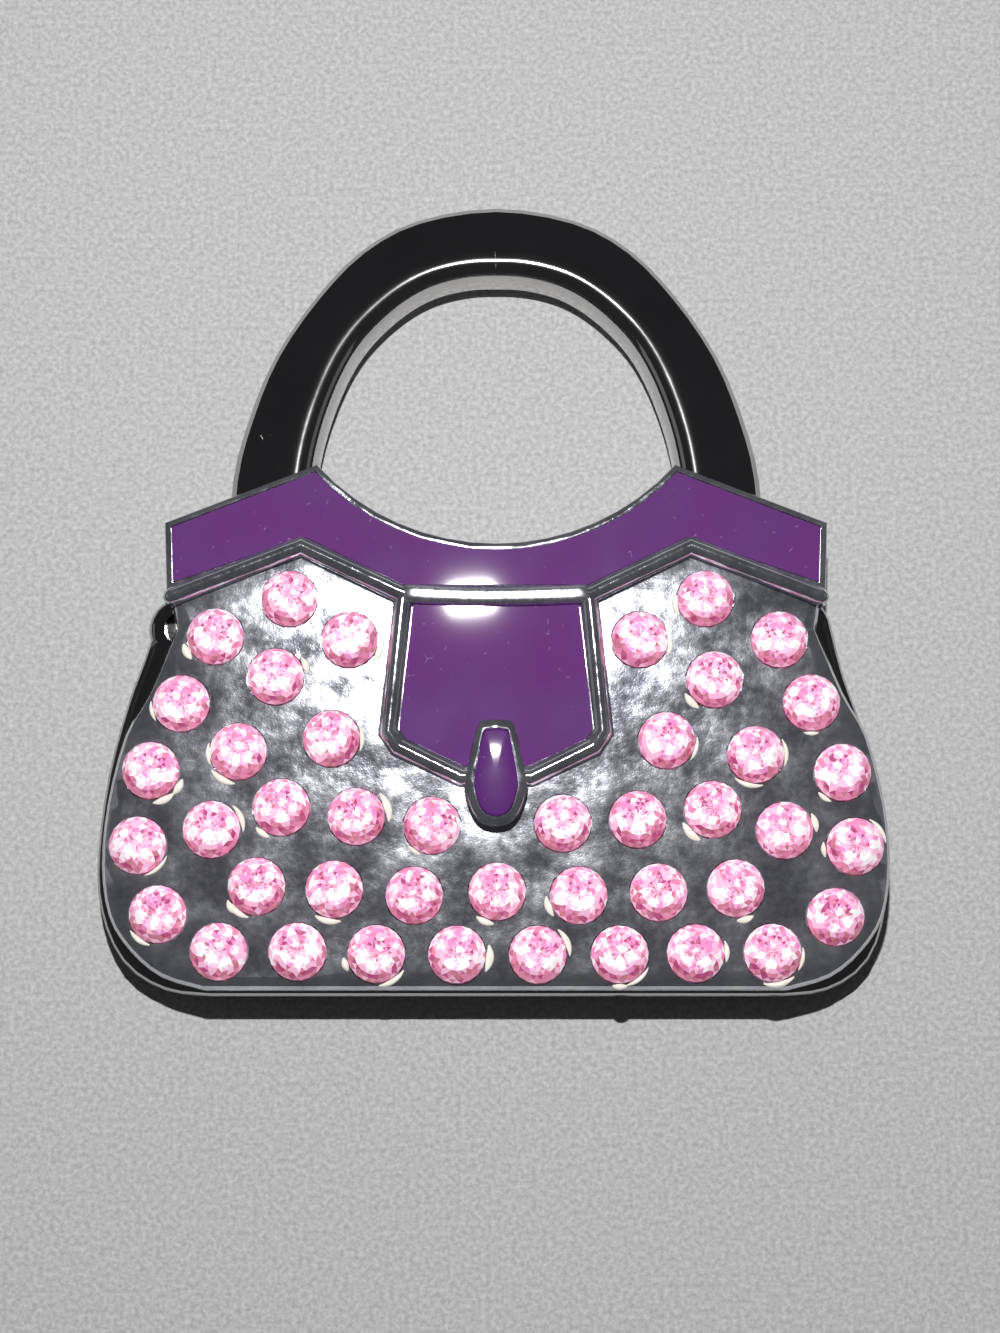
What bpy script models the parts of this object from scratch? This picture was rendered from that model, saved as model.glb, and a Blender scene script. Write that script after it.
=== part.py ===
"""A folding table hook for a handbag, made in the shape of a small handbag.

The hook lies on its back: +Z out of its face, +Y towards its handle, and the
origin in the middle of the rubber pad that it rests on. From the table up:
the pad, the rear casting with the handle's arch and the hinge lug, the hook
arm beside it, and the front plate with its beads, enamel and stones.
"""
import math

import bmesh
import bpy
from mathutils import Vector

MM = 0.001

# Heights above the table
REAR_Z = 0.7 * MM
ARM_THICK = 3.2 * MM
BACK_THICK = 3.4 * MM
PLATE_THICK = 2.4 * MM
JOIN_GAP = 0.1 * MM
ARM_GAP = 0.3 * MM
OVERRUN = 1.0 * MM

BACK_TOP = REAR_Z + BACK_THICK
PLATE_Z = BACK_TOP + JOIN_GAP
FACE_Z = PLATE_Z + PLATE_THICK
ARM_TOP = PLATE_Z - ARM_GAP
ARM_Z = ARM_TOP - ARM_THICK

# Front plate: the bag's body, whose width and drop the other pieces follow
BODY_HALF_W = 26.1 * MM
BODY_DROP = 14.15 * MM
NECK_SHARE = 0.82376
NECK_HALF_W = BODY_HALF_W * NECK_SHARE
NECK_DROP = 2.4 * MM
BODY_ROUND = 0.8 * MM
SIDE_SHARES = [
    (0.888, 0.572), (0.948, 0.272), (0.989, -0.13), (1.0, -0.42),
    (0.979, -0.66), (0.923, -0.82), (0.843, -0.94), (0.735, -1.0),
]

# Front plate: the top band
BAND_SHARE = 0.8525
BAND_HALF_W = BODY_HALF_W * BAND_SHARE
BAND_LOW_Y = 12.3 * MM
BAND_TALL = 4.7 * MM
BAND_HIGH_Y = BAND_LOW_Y + BAND_TALL
PEAK_X_SHARE = 0.5416
PEAK_X = BAND_HALF_W * PEAK_X_SHARE
PEAK_TALL = 4.0 * MM
PEAK_Y = BAND_HIGH_Y + PEAK_TALL
DIP_DROP = 5.4 * MM
DIP_Y = PEAK_Y - DIP_DROP
NECK_Y = BAND_LOW_Y - NECK_DROP
BAND_RISE = 0.5 * MM
BAND_ROUND = 0.2 * MM
BAND_RIM = 0.4 * MM

# Front plate: the raised bead under the band and the flap's frame
BEAD_HALF_W = 0.62 * MM
BEAD_RISE = 0.95 * MM
BEAD_PEAK_SHARE = 0.5865
BEAD_PEAK_X = BAND_HALF_W * BEAD_PEAK_SHARE
BEAD_PEAK_TALL = 3.15 * MM
BEAD_PEAK_Y = BAND_LOW_Y + BEAD_PEAK_TALL
BEAD_MID_DROP = 0.15 * MM
BEAD_MID_Y = BAND_LOW_Y - BEAD_MID_DROP
FRAME_HALF_W = 0.68 * MM
FRAME_RISE = 0.8 * MM
FLAP_TOP_SHARE = 0.2356
FLAP_TOP_HALF_W = BODY_HALF_W * FLAP_TOP_SHARE
FLAP_FLARE = 1.0 * MM
FLAP_LOW_HALF_W = FLAP_TOP_HALF_W + FLAP_FLARE
BEAD_MID_X = FLAP_TOP_HALF_W + BEAD_MID_DROP
FLAP_DROP = 9.95 * MM
FLAP_LOW_Y = BEAD_MID_Y - FLAP_DROP
FLAP_POINT_HALF_W = 2.3 * MM
FLAP_POINT_DROP = 2.3 * MM
FLAP_POINT_Y = FLAP_LOW_Y - FLAP_POINT_DROP

# Front plate: the clasp
CLASP_LAP = 3.7 * MM
CLASP_TOP_Y = FLAP_POINT_Y + CLASP_LAP
CLASP_LENGTH = 7.15 * MM
CLASP_HALF_W = 2.1 * MM
CLASP_RISE = 1.6 * MM
CLASP_ROUND = 0.35 * MM
CLASP_RIM = 0.6 * MM
CLASP_SHARES = [
    (0.0, 0.0), (0.42, 0.01), (0.60, 0.06), (0.80, 0.30),
    (0.98, 0.54), (0.97, 0.68), (0.75, 0.87), (0.42, 0.975), (0.0, 1.0),
]

# Enamel
ENAMEL_DEPTH = 0.5 * MM
ENAMEL_DROP = 0.08 * MM
ENAMEL_GAP = 0.06 * MM
FIELD_BITE = 0.06 * MM
FIELD_EASE = 0.15 * MM

# Stones, all of one size
STONE_R = 1.9 * MM
STONE_GIRDLE = 0.2 * MM
STONE_CROWN = 0.75 * MM
STONE_DEPTH = 0.6 * MM
STONE_TABLE_SHARE = 0.52
STONE_MID_SHARE = 0.80
STONE_BASE_SHARE = 0.62
STONE_FACETS = 8
SEAT_GAP = 0.08 * MM
SEAT_FLOOR_GAP = 0.08 * MM
SEAT_SIDES = 16
# Each row runs from left to right: a share of half the body's width, then of its neck or drop
STONE_PLACE_SHARES = [
    (-0.530, 1.198), (0.537, 1.198),
    (-0.718, 0.938), (-0.375, 0.918), (0.368, 0.918), (0.725, 0.918),
    (-0.563, 0.665), (0.558, 0.645),
    (-0.802, 0.482), (-0.419, 0.244), (0.434, 0.232), (0.804, 0.487),
    (-0.877, 0.029), (-0.655, 0.157), (0.660, 0.136), (0.880, 0.016),
    (-0.544, -0.153), (-0.354, -0.196), (-0.162, -0.238), (0.169, -0.228),
    (0.359, -0.210), (0.549, -0.163),
    (-0.906, -0.331), (-0.720, -0.257), (0.730, -0.261), (0.908, -0.336),
    (-0.604, -0.522), (-0.408, -0.536), (-0.206, -0.564), (0.003, -0.546),
    (0.209, -0.564), (0.410, -0.550), (0.605, -0.531),
    (-0.852, -0.652), (0.855, -0.664),
    (-0.697, -0.825), (-0.499, -0.825), (-0.301, -0.835), (-0.098, -0.838),
    (0.105, -0.838), (0.311, -0.838), (0.502, -0.832), (0.695, -0.830),
]

# Rear casting: the arch of the handle and the shield behind the plate
ARCH_SHARE = 0.7011
ARCH_OUTER_HALF_W = BODY_HALF_W * ARCH_SHARE
ARCH_BAR_W = 5.6 * MM
ARCH_INNER_HALF_W = ARCH_OUTER_HALF_W - ARCH_BAR_W
ARCH_FOOT_LAP = 1.7 * MM
ARCH_FOOT_Y = BAND_LOW_Y + ARCH_FOOT_LAP
ARCH_OUTER_TOP = 40.0 * MM
ARCH_TOP_W = 5.0 * MM
ARCH_INNER_TOP = ARCH_OUTER_TOP - ARCH_TOP_W
ARCH_EDGE_ROUND = 0.35 * MM
ARCH_INNER_ROUND = 1.3 * MM
ARCH_STEPS = 3
ARCH_OUTER_SHARES = [
    (1.0, 0.0), (0.985, 0.25), (0.928, 0.42), (0.836, 0.585), (0.690, 0.745),
    (0.515, 0.880), (0.300, 0.965), (0.0, 1.0),
]
ARCH_INNER_SHARES = [
    (1.0, 0.0), (0.985, 0.30), (0.915, 0.52), (0.770, 0.735), (0.580, 0.870),
    (0.385, 0.955), (0.180, 0.993), (0.0, 1.0),
]
SHIELD_LAP = 0.6 * MM
SHIELD_TOP_Y = ARCH_FOOT_Y + SHIELD_LAP
SHIELD_SHARES = [
    (0.98, 0.943), (0.93, 0.594), (0.86, 0.210), (0.72, -0.30),
    (0.50, -0.74), (0.25, -0.95), (0.0, -1.0),
]
SHIELD_ROUND = 0.3 * MM
LUG_HALF_W = 2.0 * MM
LUG_THICK = 1.05 * MM
LUG_REACH = 6.0 * MM

# Hook arm: its middle line, as shares of its reach to each side and of its drop
ARM_HALF_W = 1.8 * MM
ARM_INSET = 1.35 * MM
ARM_REACH = BODY_HALF_W - ARM_INSET
ARM_LOW_INSET = 1.5 * MM
ARM_DROP = BODY_DROP - ARM_LOW_INSET
SHIELD_GAP = 0.65 * MM
SHIELD_DROP = ARM_DROP - ARM_HALF_W - SHIELD_GAP
ARM_ROUND = 0.6 * MM
ARM_LEFT_SHARES = [
    (-0.898, 0.737), (-0.940, 0.442), (-0.985, 0.0), (-1.008, -0.40),
    (-0.998, -0.66), (-0.950, -0.87), (-0.868, -0.975), (-0.770, -1.0),
]
ARM_RIGHT_SHARES = [
    (0.770, -1.0), (0.868, -0.975), (0.945, -0.87), (0.982, -0.66),
    (0.990, -0.42), (0.974, -0.10), (0.935, 0.270), (0.884, 0.639), (0.846, 1.032),
]
ARM_SMOOTH = 3

# Hinge
HINGE_INSET = 0.1 * MM
HINGE_X = HINGE_INSET - NECK_HALF_W
HINGE_RISE = 0.4 * MM
HINGE_Y = NECK_Y + HINGE_RISE
EYE_R = 2.2 * MM
EYE_ROUND = 0.5 * MM
EYE_PROUD = 0.06 * MM
EYE_PIT_R = 1.12 * MM
EYE_PIT_DEPTH = 1.1 * MM
PIN_R = 0.7 * MM
RUNNING_GAP = 0.08 * MM
PRESS_GAP = 0.03 * MM
LUG_GAP = 0.1 * MM
LUG_SWEEP_GAP = 0.8 * MM
WASHER_THICK = 0.2 * MM
HEAD_THICK = 0.35 * MM
HEAD_MARGIN = 0.12 * MM

# Magnets
MAGNET_X_SHARE = 0.82
MAGNET_X = ARM_REACH * MAGNET_X_SHARE
MAGNET_Y = HINGE_Y
MAGNET_R = 0.8 * MM
MAGNET_THICK = 1.1 * MM
MAGNET_GAP = 0.06 * MM

# Studs that hold the front plate on the rear casting
STUD_R = 0.8 * MM
STUD_LENGTH = 1.8 * MM
STUD_X = (ARCH_OUTER_HALF_W + ARCH_INNER_HALF_W) / 2
STUD_RISE = 1.6 * MM
STUD_Y = ARCH_FOOT_Y + STUD_RISE
LOW_STUD_Y = -5.0 * MM

# Table pad
PAD_R = 8.6 * MM
PAD_SEAT_DEPTH = 0.6 * MM
PAD_ROUND = 0.15 * MM

ROUND_SIDES = 24
SMALL_SIDES = 16
SMOOTH_ANGLE = math.radians(35)


def make_material(name, color, roughness, metallic):
    material = bpy.data.materials.new(name)
    material.use_nodes = True
    shader = material.node_tree.nodes["Principled BSDF"]
    shader.inputs["Base Color"].default_value = (*color, 1)
    shader.inputs["Roughness"].default_value = roughness
    shader.inputs["Metallic"].default_value = metallic
    return material


def smooth_line(points, steps):
    """A Catmull-Rom curve through the points, with its end points kept."""
    first = [2 * a - b for a, b in zip(points[0], points[1])]
    last = [2 * a - b for a, b in zip(points[-1], points[-2])]
    row = [first, *points, last]
    line = []
    for i in range(1, len(row) - 2):
        p0, p1, p2, p3 = (Vector(p) for p in row[i - 1:i + 3])
        for step in range(steps):
            t = step / steps
            line.append(0.5 * (2 * p1 + (p2 - p0) * t
                               + (2 * p0 - 5 * p1 + 4 * p2 - p3) * t ** 2
                               + (3 * p1 - p0 - 3 * p2 + p3) * t ** 3))
    line.append(Vector(points[-1]))
    return line


def scaled(shares, width, height, base=0.0):
    return [(x * width, base + y * height) for x, y in shares]


def spread(shares, width, rise, drop):
    """Shares of a width, and of a rise above the origin or a drop below it."""
    return [(x * width, y * (rise if y > 0 else drop)) for x, y in shares]


def mirrored(half):
    """Close a right half, listed from top to bottom, with its mirror image."""
    left = [Vector((-p[0], p[1])) for p in reversed(half) if p[0]]
    return [Vector(p) for p in half] + left


def anticlockwise(points):
    area = sum(a[0] * b[1] - b[0] * a[1] for a, b in zip(points, points[1:] + points[:1]))
    return points if area > 0 else list(reversed(points))


def inset_outline(points, inset):
    """Move each corner of an anticlockwise outline inwards by the inset."""
    moved = []
    count = len(points)
    for i, point in enumerate(points):
        before = (point - points[i - 1]).normalized()
        after = (points[(i + 1) % count] - point).normalized()
        normal = Vector((-before.y - after.y, before.x + after.x)).normalized()
        stretch = max(normal.dot(Vector((-before.y, before.x))), math.cos(math.pi / 3))
        moved.append(point + normal * (inset / stretch))
    return moved


def eased(points, cut):
    """Cut the corners of a line, and keep its ends."""
    line = [Vector(points[0])]
    for before, corner, after in zip(points, points[1:], points[2:]):
        corner = Vector(corner)
        line.append(corner + (Vector(before) - corner).normalized() * cut)
        line.append(corner + (Vector(after) - corner).normalized() * cut)
    line.append(Vector(points[-1]))
    return line


def mesh_object(name, bm, material=None):
    bmesh.ops.recalc_face_normals(bm, faces=bm.faces)
    mesh = bpy.data.meshes.new(name)
    bm.to_mesh(mesh)
    bm.free()
    if material:
        mesh.materials.append(material)
    mesh.shade_smooth()
    mesh.set_sharp_from_angle(angle=SMOOTH_ANGLE)
    item = bpy.data.objects.new(name, mesh)
    bpy.context.scene.collection.objects.link(item)
    return item


def stack(name, outline, levels, material=None):
    """A solid of one outline, inset by its own amount at each height."""
    outline = anticlockwise([Vector(p) for p in outline])
    bm = bmesh.new()
    rings = []
    for z, inset in levels:
        ring = inset_outline(outline, inset) if inset else outline
        rings.append([bm.verts.new((p.x, p.y, z)) for p in ring])
    count = len(outline)
    for low, high in zip(rings, rings[1:]):
        for i in range(count):
            j = (i + 1) % count
            bm.faces.new((low[i], low[j], high[j], high[i]))
    bm.faces.new(list(reversed(rings[0])))
    bm.faces.new(rings[-1])
    return mesh_object(name, bm, material)


def rounded_levels(z_low, z_high, round_low, round_high):
    """Heights and insets of a slab whose long edges are rounded."""
    corner_shares = [(1.0, 0.0), (0.3, 0.3), (0.0, 1.0)]
    levels = []
    if round_low:
        levels += [(z_low + up * round_low, side * round_low) for side, up in corner_shares]
    else:
        levels.append((z_low, 0))
    if round_high:
        levels += [(z_high - up * round_high, side * round_high)
                   for side, up in reversed(corner_shares)]
    else:
        levels.append((z_high, 0))
    return levels


def discs(name, places, profile, sides, material=None):
    """Round solids, one at each place: the profile lists (z, radius) from the bottom up."""
    bm = bmesh.new()
    for x, y in places:
        rings = []
        for z, radius in profile:
            ring = []
            for i in range(sides):
                angle = 2 * math.pi * (i + 0.5) / sides
                corner = (x + radius * math.cos(angle), y + radius * math.sin(angle), z)
                ring.append(bm.verts.new(corner))
            rings.append(ring)
        for low, high in zip(rings, rings[1:]):
            for i in range(sides):
                j = (i + 1) % sides
                bm.faces.new((low[i], low[j], high[j], high[i]))
        bm.faces.new(list(reversed(rings[0])))
        bm.faces.new(rings[-1])
    return mesh_object(name, bm, material)


def disc(name, x, y, profile, sides, material=None):
    return discs(name, [(x, y)], profile, sides, material)


def rail(name, path, half_width, z_low, z_high):
    """A raised bead with a rounded top and rounded ends along a flat path."""
    section_shares = [(-1.0, 0.0), (-0.9, 0.45), (-0.5, 0.87), (0.0, 1.0),
                      (0.5, 0.87), (0.9, 0.45), (1.0, 0.0)]
    end_shares = [(1.0, 0.35), (0.6, 0.85), (0.0, 1.0)]
    path = [Vector(p) for p in path]
    start = (path[0] - path[1]).normalized()
    finish = (path[-1] - path[-2]).normalized()
    stations = [(path[0] + start * (out * half_width), width) for out, width in end_shares]
    stations += [(p, 1.0) for p in path[1:-1]]
    stations += [(path[-1] + finish * (out * half_width), width)
                 for out, width in reversed(end_shares)]
    crest = min(half_width, z_high - z_low)
    bm = bmesh.new()
    rings = []
    for i, (place, width) in enumerate(stations):
        before = (place - stations[i - 1][0]).normalized() if i else -start
        after = (stations[i + 1][0] - place).normalized() if i + 1 < len(stations) else finish
        along = (before + after).normalized()
        side = Vector((-along.y, along.x)) / max(along.dot(after), math.cos(math.pi / 4))
        ring = [bm.verts.new((*(place - side * half_width * width), z_low))]
        for across, up in section_shares:
            flat = place + side * (across * half_width * width)
            z = z_high - crest + up * crest * width
            ring.append(bm.verts.new((flat.x, flat.y, z)))
        ring.append(bm.verts.new((*(place + side * half_width * width), z_low)))
        rings.append(ring)
    for low, high in zip(rings, rings[1:]):
        for i in range(len(low)):
            j = (i + 1) % len(low)
            bm.faces.new((low[i], high[i], high[j], low[j]))
    bm.faces.new(rings[0])
    bm.faces.new(list(reversed(rings[-1])))
    bmesh.ops.triangulate(bm, faces=bm.faces)
    return mesh_object(name, bm)


def combine(item, other, operation):
    """Join or cut with a Boolean, apply it and remove the other object."""
    modifier = item.modifiers.new(operation.title(), "BOOLEAN")
    modifier.operation = operation
    modifier.solver = "EXACT"
    modifier.object = other
    depsgraph = bpy.context.evaluated_depsgraph_get()
    mesh = bpy.data.meshes.new_from_object(item.evaluated_get(depsgraph))
    item.modifiers.clear()
    old = item.data
    item.data = mesh
    bpy.data.meshes.remove(old)
    bpy.data.objects.remove(other)


def finish(item, name, material):
    mesh = item.data
    mesh.materials.clear()
    mesh.materials.append(material)
    mesh.shade_smooth()
    mesh.set_sharp_from_angle(angle=SMOOTH_ANGLE)
    item.name = name
    mesh.name = name
    return item


def body_outline():
    """The bag's body, up to the line of the bead under the band."""
    side = [(NECK_HALF_W, NECK_Y), *spread(SIDE_SHARES, BODY_HALF_W, NECK_Y, BODY_DROP)]
    right = [(0.0, BEAD_MID_Y), (BEAD_MID_X, BEAD_MID_Y), (BEAD_PEAK_X, BEAD_PEAK_Y),
             (BAND_HALF_W - BAND_RIM, BAND_LOW_Y), *smooth_line(side, 3), (0.0, -BODY_DROP)]
    return mirrored(right)


def band_outline():
    """The band: a hollow arc between two peaks, and straight slopes to the sides."""
    sag = PEAK_Y - DIP_Y
    radius = (PEAK_X ** 2 + sag ** 2) / (2 * sag)
    half_angle = math.asin(PEAK_X / radius)
    steps = 8
    arc = []
    for i in range(steps + 1):
        angle = half_angle * i / steps
        arc.append((radius * math.sin(angle), DIP_Y + radius * (1 - math.cos(angle))))
    right = arc + [(BAND_HALF_W, BAND_HIGH_Y), (BAND_HALF_W - BAND_RIM / 2, BAND_LOW_Y),
                   (BEAD_PEAK_X, BEAD_PEAK_Y), (BEAD_MID_X, BEAD_MID_Y), (0.0, BEAD_MID_Y)]
    return mirrored(right)


def clasp_outline():
    half = smooth_line([(x * CLASP_HALF_W, CLASP_TOP_Y - y * CLASP_LENGTH)
                        for x, y in CLASP_SHARES], 2)
    return mirrored(half)


def flap_outline():
    """The frame's middle line, from its upper left end round to its upper right end."""
    corner = FLAP_LOW_HALF_W - FRAME_HALF_W
    left = [(-FLAP_TOP_HALF_W, BEAD_MID_Y), (-FLAP_LOW_HALF_W, FLAP_LOW_Y + FRAME_HALF_W),
            (-corner, FLAP_LOW_Y - FRAME_HALF_W / 2), (-FLAP_POINT_HALF_W, FLAP_POINT_Y)]
    return left + [(-x, y) for x, y in reversed(left)]


def bead_path():
    left = [(-BAND_HALF_W + BEAD_HALF_W, BAND_LOW_Y - BEAD_HALF_W / 2),
            (-BEAD_PEAK_X, BEAD_PEAK_Y), (-BEAD_MID_X, BEAD_MID_Y)]
    return left + [(-x, y) for x, y in reversed(left)]


def arm_middle_line():
    left = spread(ARM_LEFT_SHARES, ARM_REACH, HINGE_Y, ARM_DROP)
    right = spread(ARM_RIGHT_SHARES, ARM_REACH, HINGE_Y, ARM_DROP)
    start = [(HINGE_X, HINGE_Y)]
    return smooth_line(start + left, ARM_SMOOTH) + smooth_line(right, ARM_SMOOTH)


def stone_places():
    return spread(STONE_PLACE_SHARES, BODY_HALF_W, NECK_Y, BODY_DROP)


def build_front_plate(material):
    edge = rounded_levels(PLATE_Z, FACE_Z, 0, BODY_ROUND)
    plate = stack("front_plate", body_outline(), edge)
    band_top = FACE_Z + BAND_RISE
    combine(plate, stack("band", band_outline(),
                         rounded_levels(PLATE_Z, band_top, 0, BAND_ROUND)), "UNION")
    rail_low = FACE_Z - BODY_ROUND
    combine(plate, rail("frame", flap_outline(), FRAME_HALF_W, rail_low,
                        FACE_Z + FRAME_RISE), "UNION")
    combine(plate, rail("bead", bead_path(), BEAD_HALF_W, rail_low,
                        FACE_Z + BEAD_RISE), "UNION")
    combine(plate, stack("clasp", clasp_outline(),
                         rounded_levels(rail_low, FACE_Z + CLASP_RISE, 0, CLASP_ROUND)), "UNION")
    for cutter in (band_enamel_shape("cutter", 0, OVERRUN + BEAD_RISE),
                   flap_enamel_shape("cutter", 0, OVERRUN + CLASP_RISE),
                   clasp_enamel_shape("cutter", 0, OVERRUN)):
        combine(plate, cutter, "DIFFERENCE")
    seat_floor = FACE_Z - STONE_DEPTH - SEAT_FLOOR_GAP
    seat = [(seat_floor, STONE_R + SEAT_GAP), (FACE_Z + OVERRUN, STONE_R + SEAT_GAP)]
    combine(plate, discs("seats", stone_places(), seat, SEAT_SIDES), "DIFFERENCE")
    stud = [(PLATE_Z - STUD_LENGTH, STUD_R), (PLATE_Z + STUD_R, STUD_R)]
    combine(plate, discs("studs", stud_places(), stud, SMALL_SIDES), "UNION")
    pocket = [(PLATE_Z - OVERRUN, MAGNET_R + MAGNET_GAP),
              (PLATE_Z + MAGNET_THICK + MAGNET_GAP, MAGNET_R + MAGNET_GAP)]
    combine(plate, disc("pocket", MAGNET_X, MAGNET_Y, pocket, SMALL_SIDES), "DIFFERENCE")
    return finish(plate, "front_plate", material)


def stud_places():
    return [(-STUD_X, STUD_Y), (STUD_X, STUD_Y), (0.0, LOW_STUD_Y)]


def band_enamel_shape(name, shrink, extra):
    """The enamel's field in the band, between its rim and the bead below it."""
    top = FACE_Z + BAND_RISE
    low = top - ENAMEL_DEPTH + shrink
    high = top + extra if extra else top - ENAMEL_DROP
    outline = inset_outline(anticlockwise([Vector(p) for p in band_outline()]),
                            BAND_RIM + shrink)
    field = stack(name, outline, [(low, 0), (high, 0)])
    combine(field, bead_wall(shrink, low, high), "DIFFERENCE")
    return field


def bead_wall(shrink, low, high):
    """What a field leaves for the bead; the cut bites a little into the bead's side."""
    path = eased(bead_path(), FIELD_EASE)
    return rail("keep", path, BEAD_HALF_W - FIELD_BITE + shrink, low - OVERRUN, high + OVERRUN)


def flap_enamel_shape(name, shrink, extra):
    """The enamel's field inside the flap's frame, less the clasp that lies on it."""
    top = FACE_Z + FRAME_RISE / 2
    low = top - ENAMEL_DEPTH + shrink
    high = top + extra
    outline = inset_outline(anticlockwise(eased(flap_outline(), FIELD_EASE)),
                            FRAME_HALF_W - FIELD_BITE + shrink)
    field = stack(name, outline, [(low, 0), (high, 0)])
    clasp = inset_outline(anticlockwise(clasp_outline()), FIELD_BITE - shrink)
    combine(field, stack("keep", clasp, [(low - OVERRUN, 0), (high + OVERRUN, 0)]), "DIFFERENCE")
    combine(field, bead_wall(shrink, low, high), "DIFFERENCE")
    return field


def clasp_enamel_shape(name, shrink, extra):
    """The clasp's own outline again, drawn in to leave its rim."""
    top = FACE_Z + CLASP_RISE
    middle_y = CLASP_TOP_Y - CLASP_LENGTH / 2
    wide = (CLASP_HALF_W - CLASP_RIM - shrink) / CLASP_HALF_W
    tall = (CLASP_LENGTH / 2 - CLASP_RIM - shrink) / (CLASP_LENGTH / 2)
    outline = [(p.x * wide, middle_y + (p.y - middle_y) * tall) for p in clasp_outline()]
    low = top - ENAMEL_DEPTH + shrink
    high = top + extra if extra else top - ENAMEL_DROP
    return stack(name, outline, [(low, 0), (high, 0)])


def build_enamels(material):
    fields = {
        "top_band_enamel": band_enamel_shape,
        "flap_enamel": flap_enamel_shape,
        "clasp_enamel": clasp_enamel_shape,
    }
    for name, shape in fields.items():
        finish(shape(name, ENAMEL_GAP, 0), name, material)


def stone_mesh(material):
    """A round brilliant with a flat base: table, crown, girdle and short pavilion."""
    bm = bmesh.new()
    double = 2 * STONE_FACETS

    def ring(radius, z, count, turn):
        places = []
        for i in range(count):
            angle = 2 * math.pi * (i + turn) / count
            place = (radius * math.cos(angle), radius * math.sin(angle), z)
            places.append(bm.verts.new(place))
        return places

    base = ring(STONE_R * STONE_BASE_SHARE, -STONE_DEPTH, STONE_FACETS, 0)
    girdle_low = ring(STONE_R, 0, double, 0)
    girdle_high = ring(STONE_R, STONE_GIRDLE, double, 0)
    middle_z = STONE_GIRDLE + STONE_CROWN * (1 - STONE_MID_SHARE) / (1 - STONE_TABLE_SHARE)
    middle = ring(STONE_R * STONE_MID_SHARE, middle_z, STONE_FACETS, 0.5)
    table = ring(STONE_R * STONE_TABLE_SHARE, STONE_GIRDLE + STONE_CROWN, STONE_FACETS, 0)
    for i in range(STONE_FACETS):
        j = (i + 1) % STONE_FACETS
        here, half, there = 2 * i, 2 * i + 1, 2 * j
        bm.faces.new((base[i], girdle_low[half], girdle_low[here]))
        bm.faces.new((base[i], base[j], girdle_low[half]))
        bm.faces.new((base[j], girdle_low[there], girdle_low[half]))
        for a, b in ((here, half), (half, there)):
            bm.faces.new((girdle_low[a], girdle_low[b], girdle_high[b], girdle_high[a]))
        bm.faces.new((girdle_high[here], girdle_high[half], middle[i]))
        bm.faces.new((girdle_high[half], girdle_high[there], middle[i]))
        bm.faces.new((middle[i - 1], girdle_high[here], middle[i], table[i]))
        bm.faces.new((middle[i], table[j], table[i]))
    bm.faces.new(list(reversed(base)))
    bm.faces.new(table)
    bmesh.ops.recalc_face_normals(bm, faces=bm.faces)
    mesh = bpy.data.meshes.new("stone")
    bm.to_mesh(mesh)
    bm.free()
    mesh.materials.append(material)
    return mesh


def build_stones(material):
    mesh = stone_mesh(material)
    for number, (x, y) in enumerate(stone_places(), start=1):
        stone = bpy.data.objects.new(f"stone_{number:02d}", mesh)
        stone.location = (x, y, FACE_Z)
        bpy.context.scene.collection.objects.link(stone)


def arch_line(shares, half_width, height):
    """One side of the arch, over from its right foot to its left one."""
    right = scaled(shares, half_width, height, ARCH_FOOT_Y)
    return smooth_line(right + [(-x, y) for x, y in reversed(right[:-1])], ARCH_STEPS)


def arch(name):
    """The handle: a thick arch whose inner front edge is rounded over."""
    outer = arch_line(ARCH_OUTER_SHARES, ARCH_OUTER_HALF_W, ARCH_OUTER_TOP - ARCH_FOOT_Y)
    inner = arch_line(ARCH_INNER_SHARES, ARCH_INNER_HALF_W, ARCH_INNER_TOP - ARCH_FOOT_Y)
    stations = list(zip(outer, inner))
    edge, lip = ARCH_EDGE_ROUND, ARCH_INNER_ROUND
    section = [(edge, REAR_Z), (0.0, REAR_Z + edge), (0.0, BACK_TOP - edge), (edge, BACK_TOP)]
    lip_shares = [(1.0, 0.0), (0.5, 0.13), (0.13, 0.5), (0.0, 1.0)]
    bm = bmesh.new()
    rings = []
    for out_point, in_point in stations:
        across = (in_point - out_point)
        width = across.length
        across.normalize()
        row = [(out_point + across * step, z) for step, z in section]
        row += [(out_point + across * (width - side * lip), BACK_TOP - down * lip)
                for side, down in lip_shares]
        row += [(out_point + across * width, REAR_Z + edge),
                (out_point + across * (width - edge), REAR_Z)]
        rings.append([bm.verts.new((p.x, p.y, z)) for p, z in row])
    for low, high in zip(rings, rings[1:]):
        for i in range(len(low)):
            j = (i + 1) % len(low)
            bm.faces.new((low[i], high[i], high[j], low[j]))
    bm.faces.new(rings[0])
    bm.faces.new(list(reversed(rings[-1])))
    bmesh.ops.triangulate(bm, faces=bm.faces)
    return mesh_object(name, bm)


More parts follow.
